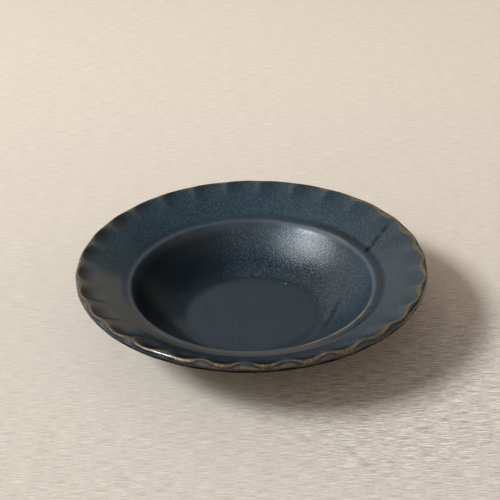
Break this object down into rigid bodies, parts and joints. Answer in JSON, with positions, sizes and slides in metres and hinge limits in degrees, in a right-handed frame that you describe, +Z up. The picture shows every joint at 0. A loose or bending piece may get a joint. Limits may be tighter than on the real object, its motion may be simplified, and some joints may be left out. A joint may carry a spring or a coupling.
{
  "type": "pasta bowl",
  "caption": "Round stoneware pasta bowl with a flat floor, a beaded shoulder, a wide sloping flange and a fluted lip, in dark glaze on a bare foot ring.",
  "frame": {"origin": "centre of the bowl on the plane that the foot ring stands on", "axes": "+Z up along the bowl's axis of rotation; +X and +Y each pass through a ridge between two flutes"},
  "size_m": [0.23, 0.23, 0.0498],
  "materials": {
    "stoneware": "bare fired clay, brown, fine grained",
    "dark_glaze": "satin blue-black glaze with teal and brown breaks and a fine speckle",
    "rim_glaze": "thin glaze broken to amber and iron brown along the edge"
  },
  "bodies": {
    "root": {"clay_body": "stoneware", "foot_ring": "stoneware", "inside_glaze": "dark_glaze", "outside_glaze": "dark_glaze", "base_glaze": "dark_glaze", "rim_glaze": "rim_glaze"}
  },
  "joints": []
}
